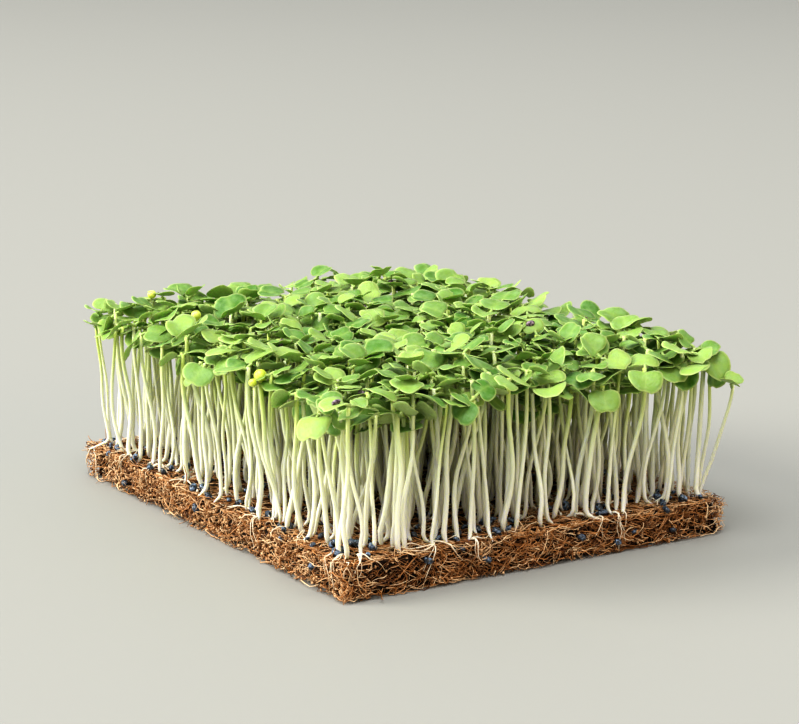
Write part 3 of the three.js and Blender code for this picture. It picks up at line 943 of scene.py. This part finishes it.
def pith_crumbs(material):
    """Crumbs of pith on the sides and along the top's rim, most of them where the fibres end."""
    draw = np.random.default_rng(CRUMB_DRAW)
    wanted = 3 * CRUMBS
    places, out, _ = round_mat(draw.random(wanted), draw.uniform(0.5, MAT_TOP + 0.1, wanted))
    places -= (draw.uniform(-0.3, 1.3, wanted) + hollows(places))[:, None] * out
    places = places[draw.random(wanted) < 0.15 + 0.65 * np.abs(out[:, 1])][:CRUMBS]
    count = len(places)
    points, faces = ball(1)
    sizes = draw.uniform(*CRUMB_RADIUS, (count, 1, 3))
    lumps = points * sizes * draw.uniform(0.7, 1.3, (count, len(points), 1)) + places[:, None]
    lumps[..., 2] = np.maximum(lumps[..., 2], 0.02)
    tone = np.repeat(draw.beta(1.2, 1.4, count), len(points))
    strewn_piece("coir_pith_crumbs", lumps, faces, material, "coir", ["coir_mat"], tone=tone)


def keep_in(paths):
    """No fibre runs into the table, over the top or far out of the sides: its way is folded back."""
    paths[..., 2] = np.abs(paths[..., 2] - FIBRE_LIFT) + FIBRE_LIFT
    over = paths[..., 2] - (MAT_TOP + 0.5)
    paths[..., 2] -= 1.6 * np.maximum(over, 0)
    beyond = np.abs(paths[..., :2]) - (HALF + FIBRE_PROUD)
    paths[..., :2] -= 1.7 * np.sign(paths[..., :2]) * np.maximum(beyond, 0)


def top_fibres(material):
    """The felt's top: fibres in all directions, closest together near the edges."""
    draw = np.random.default_rng(TOP_DRAW)
    flat = draw.uniform(-1, 1, (2 * TOP_FIBRES, 2))
    edge = np.abs(flat).max(-1)
    flat = flat[draw.random(len(flat)) < 0.3 + 0.9 * edge**3][:TOP_FIBRES] * (HALF - 0.6)
    count = len(flat)
    starts = np.column_stack([flat, MAT_TOP - 0.2 + draw.normal(0, 0.3, count)])
    turn = draw.uniform(0, 2 * pi, count)
    headings = np.column_stack([np.cos(turn), np.sin(turn), draw.normal(0, 0.12, count)])
    paths = wander(starts, headings, draw.uniform(4, 12, count), FIBRE_STATIONS, 0.45, draw)
    paths[..., 2] = MAT_TOP - 0.25 + 0.35 * np.tanh((paths[..., 2] - MAT_TOP) / 0.8) + 0.3
    paths[..., 2] += 0.4 * ripple(paths[..., :2], 7, 4)
    keep_in(paths)
    tone = 0.55 + draw.normal(0, 0.24, count)
    fibre_piece("coir_top_fibres", paths, tone, draw, material)


def bottom_fibres(material):
    """The felt's underside: fibres pressed flat by the table."""
    draw = np.random.default_rng(BOTTOM_DRAW)
    starts = np.column_stack([
        draw.uniform(-1, 1, (BOTTOM_FIBRES, 2)) * (HALF - 1.2), np.full(BOTTOM_FIBRES, PRESSED_LIFT),
    ])
    turn = draw.uniform(0, 2 * pi, BOTTOM_FIBRES)
    headings = np.column_stack([np.cos(turn), np.sin(turn), 0 * turn])
    paths = wander(starts, headings, draw.uniform(5, 14, BOTTOM_FIBRES), FIBRE_STATIONS, 0.4, draw)
    paths[..., 2] = PRESSED_LIFT + 0.06 * np.sin(paths[..., 2])
    paths[..., :2] = np.clip(paths[..., :2], -HALF, HALF)
    tone = 0.45 + draw.normal(0, 0.22, BOTTOM_FIBRES)
    fibre_piece("coir_bottom_fibres", paths, tone, draw, material)


def stray_fibres(material):
    """Loose ends that stand out of the sides and the rim, some of them in tufts."""
    draw = np.random.default_rng(STRAY_DRAW)
    tufts = draw.random(TUFTS)
    share = np.where(
        draw.random(STRAY_FIBRES) < 0.45,
        tufts[draw.integers(0, TUFTS, STRAY_FIBRES)] + draw.normal(0, 0.003, STRAY_FIBRES),
        draw.random(STRAY_FIBRES),
    )
    lift = draw.uniform(0.6, MAT_TOP + 0.1, STRAY_FIBRES)
    places, out, along = round_mat(share, lift)
    headings = out + draw.normal(0, 0.7, (STRAY_FIBRES, 1)) * along
    headings += draw.normal(0.12, 0.35, (STRAY_FIBRES, 1)) * [0, 0, 1]
    starts = places - draw.uniform(1.5, 3, (STRAY_FIBRES, 1)) * out
    paths = wander(starts, unit(headings), draw.uniform(3, 7, STRAY_FIBRES), FIBRE_STATIONS, 0.45, draw)
    paths[..., 2] = np.abs(paths[..., 2] - FIBRE_LIFT) + FIBRE_LIFT
    tone = 0.6 + draw.normal(0, 0.2, STRAY_FIBRES)
    fibre_piece("coir_stray_fibres", paths, tone, draw, material)


def seeds_on_mat(material):
    """Swollen seeds: strewn over the felt, most of them near the rim, and stuck to its sides."""
    draw = np.random.default_rng(SEED_DRAW)
    flat = draw.uniform(-1, 1, (4 * SEEDS, 2))
    flat = flat[draw.random(len(flat)) < 0.25 + 0.75 * np.abs(flat).max(-1) ** 4][:SEEDS] * (HALF - 1)
    on_top = np.column_stack([flat, MAT_TOP + 0.65 + draw.uniform(-0.2, 0.4, len(flat))])
    lift = MAT_TOP - 6 * draw.random(SIDE_SEEDS) ** 1.6
    on_side, out, _ = round_mat(draw.random(SIDE_SEEDS), lift)
    places = np.concatenate([on_top, on_side + 0.2 * out])
    points, faces = ball(2)
    placed = []
    for place in places:
        lumpy = points * (1 + 0.16 * ripple(points, 1.2, int(1000 * abs(place[0]))))[:, None]
        turned = np.array(Euler(draw.uniform(0, pi, 3) * [0.35, 0.35, 2]).to_matrix())
        size = np.array(SEED_SIZE) * draw.uniform(0.5, 1.1)
        placed.append(lumpy * size @ turned.T + place)
    tone = np.repeat(draw.random(len(places)) ** 2, len(points))
    strewn_piece("swollen_seeds", placed, faces, material, "seed", ["coir_mat"], tone=tone)


def roots(seedlings, material):
    """Fine roots: they fork from the feet over the felt, and some near the rim hang down its sides."""
    draw = np.random.default_rng(ROOT_DRAW)
    paths = []
    for s in seedlings:
        near, out_x, out_y = edge_at(*s.foot[:2])
        outward = np.arctan2(out_y, out_x) if near > 0.05 else draw.uniform(0, 2 * pi)
        hanging = near > 0.55 and draw.random() < 0.3
        for _ in range(draw.integers(2, 5) if hanging else draw.integers(0, 2)):
            turn = outward + draw.normal(0, 0.6 if hanging else 1.5)
            length = draw.uniform(5, 10) if hanging else draw.uniform(1.5, 5)
            run = np.linspace(0, length, ROOT_STATIONS)
            way = np.array([cos(turn), sin(turn)])
            curl = np.array([-way[1], way[0]])
            drift = draw.normal(0, 0.12) * run**1.5 + 0.35 * np.sin(run * draw.uniform(0.6, 1.4) + turn)
            foot = s.foot[:2] + 1.1 * s.hook
            flat = foot + run[:, None] * way + (drift - drift[0])[:, None] * curl
            paths.append(over_the_rim(flat, draw))
    radii = draw.uniform(*ROOT_RADIUS, (len(paths), 1)) * np.linspace(1.5, 0.4, ROOT_STATIONS)
    points, faces = tubes(np.array(paths), radii, ROOT_SIDES)
    tone = draw.uniform(0.2, 1, (len(paths), 1)) * np.linspace(0, 1, ROOT_STATIONS)
    tone = at_each_point(tone, ROOT_STATIONS, ROOT_SIDES)
    mesh_piece("fine_roots", points, faces, material, "root", [], tone=tone)


def over_the_rim(flat, draw):
    """A way over the felt: what would run past the rim hangs down the side instead."""
    beyond = np.maximum(np.abs(flat) - (HALF + 0.25), 0)
    kept = np.sign(flat) * (np.abs(flat) - beyond)
    kept += 0.35 * np.sign(flat) * (beyond > 0) * draw.uniform(0.2, 1.2)
    lift = MAT_TOP + 0.55 + 0.35 * np.sin(np.arange(len(flat)) * draw.uniform(0.5, 1.2))
    return np.column_stack([kept, np.maximum(lift - 1.15 * beyond.max(-1), 0.5)])


# Camera, light and table

def look_from_photo():
    camera = placed_object("camera", bpy.data.cameras.new("camera"))
    camera.data.sensor_width = SENSOR_WIDTH
    camera.data.lens = SENSOR_WIDTH * FOCAL_PIXELS / IMAGE_WIDTH
    camera.data.clip_start = 0.01
    turned = (
        Matrix.Rotation(radians(CAMERA_TURN), 4, "Z")
        @ Matrix.Rotation(radians(90 - CAMERA_PITCH), 4, "X")
        @ Matrix.Rotation(radians(CAMERA_ROLL), 4, "Z")
    )
    camera.matrix_world = Matrix.Translation(Vector(CAMERA_PLACE) * MM) @ turned
    bpy.context.scene.camera = camera


def area_light(name, place, size, power, colour):
    """A soft box that faces the middle of the stand."""
    lamp = bpy.data.lights.new(name, "AREA")
    lamp.shape = "DISK"
    lamp.size = size
    lamp.energy = power
    lamp.color = linear(colour)[:3]
    light = placed_object(name, lamp)
    light.location = place
    light.rotation_euler = (Vector((0, 0, 0.02)) - Vector(place)).to_track_quat("-Z", "Y").to_euler()


def studio():
    """A wide window to the left, a high panel on the near side, and a warm glow from the right."""
    area_light("window", (-1.9, -3.6, 1.9), 2.6, 210, "#fffdf6")
    area_light("ceiling_panel", (1.1, -1.3, 4.2), 3.2, 170, "#f8fbff")
    area_light("far_wall", (3.6, 1.2, 1.2), 2.6, 24, "#ffd8a6")
    world = bpy.data.worlds.new("room")
    world.use_nodes = True
    fill(world.node_tree, world.node_tree.nodes["Background"], {"Color": "#f1f3f4", "Strength": 0.6})
    bpy.context.scene.world = world
    view = bpy.context.scene.view_settings
    view.view_transform = "Standard"
    view.look = "High Contrast"


def table():
    size = 2.5
    mesh = bpy.data.meshes.new("table")
    corners = [(-size, -size, 0), (size, -size, 0), (size, size, 0), (-size, size, 0)]
    mesh.from_pydata(corners, [], [(0, 1, 2, 3)])
    mesh.materials.append(table_top())
    placed_object("table", mesh)


def grow():
    """Sows the stand and makes its pieces, one band of clumps at a time."""
    stand = sow_clumps()
    more = sow_between(stand)
    draw = np.random.default_rng(FIRST_DRAW + 9)
    band_width = BLOCK * CELL_Y
    for s in stand + more:
        s.hook = draw.normal(0, HOOK, 2)
        s.row = int(np.clip((s.foot[1] + HALF[1] - STAND_EDGE) // band_width, 0, ROWS / BLOCK - 1)) + 1
    leaf, stem = seed_leaf_tissue(), stem_tissue()
    for row in range(1, ROWS // BLOCK + 1):
        band = [s for s in stand + more if s.row == row]
        leaf_pieces(band, leaf)
        stem_pieces(band, stem)
    folded_leaves([s for s in more if s.folded], folded_leaf_tissue())
    open_ones = [s for s in more if not s.folded and s.head[2] > MAT_TOP + PLANT_HEIGHT - 3]
    husks_on_leaves(
        [min(open_ones, key=lambda s: np.hypot(*(s.head[:2] - place))) for place in HUSK_PLACES],
        dry_seed_coat(),
    )
    roots(stand + more, root_tissue())


look_from_photo()
table()
studio()
fibre = coir_fibre()
mat_core(core_dust_painted_shade())
side_fibres(fibre)
top_fibres(fibre)
bottom_fibres(fibre)
stray_fibres(fibre)
pith_crumbs(coir_pith())
seeds_on_mat(swollen_seed())
grow()
